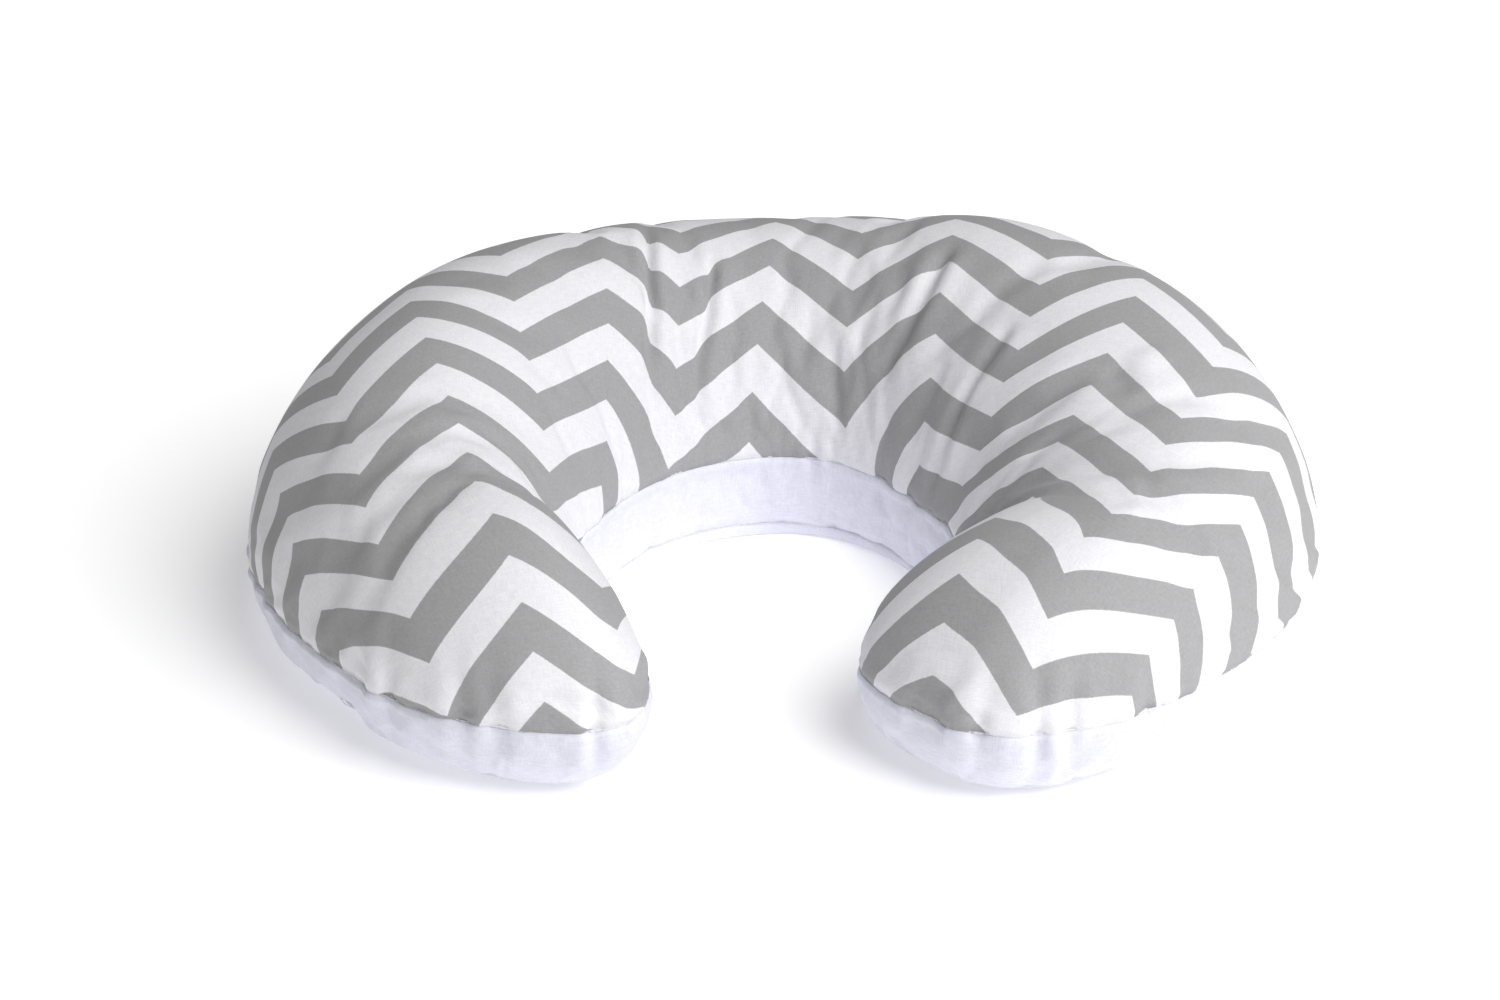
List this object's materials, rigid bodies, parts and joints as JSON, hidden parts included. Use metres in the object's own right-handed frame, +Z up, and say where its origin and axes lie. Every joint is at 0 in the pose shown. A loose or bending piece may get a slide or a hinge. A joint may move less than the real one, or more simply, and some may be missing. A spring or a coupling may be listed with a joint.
{
  "type": "nursing pillow",
  "caption": "C-shaped nursing pillow: stuffed inner pillow in a removable cotton slipcover with a zigzag printed top, a plain side band and a zip across the back.",
  "frame": {"origin": "middle of the footprint's box, on the surface the pillow lies on", "axes": "+X across the pillow from arm to arm, +Y towards the closed back of the C, +Z up"},
  "size_m": [0.5682, 0.4686, 0.1638],
  "materials": {
    "printed_cotton": "matte woven cotton with a crisp grey and white zigzag print",
    "white_cotton": "matte plain-woven white cotton",
    "thread": "spun polyester sewing thread",
    "satin_label": "smooth satin ribbon, blank",
    "casing_cloth": "matte thin non-woven casing cloth",
    "fibre_fill": "loose polyester fibre",
    "zip_tape": "woven herringbone zip tape",
    "zip_nylon": "satin nylon coil",
    "nickel": "nickel-plated die casting, lightly polished"
  },
  "bodies": {
    "root": {"cover_top_panel": "printed_cotton", "cover_side_band": "white_cotton", "zip_panel_upper": "white_cotton", "zip_panel_lower": "white_cotton", "cover_bottom_panel": "white_cotton", "upper_seam_thread": "thread", "lower_seam_thread": "thread", "care_label": "satin_label", "casing_top": "casing_cloth", "casing_bottom": "casing_cloth", "fibre_filling": "fibre_fill", "casing_seam_thread": "thread", "casing_closing_stitches": "thread", "zip_tape_upper": "zip_tape", "zip_tape_lower": "zip_tape", "zip_teeth_upper": "zip_nylon", "zip_teeth_lower": "zip_nylon", "zip_start_stop": "nickel", "zip_end_stop": "nickel"},
    "slider": {"zip_slider": "nickel"},
    "pull": {"zip_pull": "nickel"}
  },
  "joints": [
    {"name": "zip_slide", "type": "hinge", "parent": "root", "child": "slider", "pos_m": [0, -0.04267, 0], "axis": [0, 0, 1], "range_deg": [0, 56.6]},
    {"name": "pull_swing", "type": "hinge", "parent": "slider", "child": "pull", "pos_m": [0.1316, 0.20138, 0.03242], "axis": [-0.1287, -0.2387, -0.9625], "range_deg": [0, 175]}
  ]
}
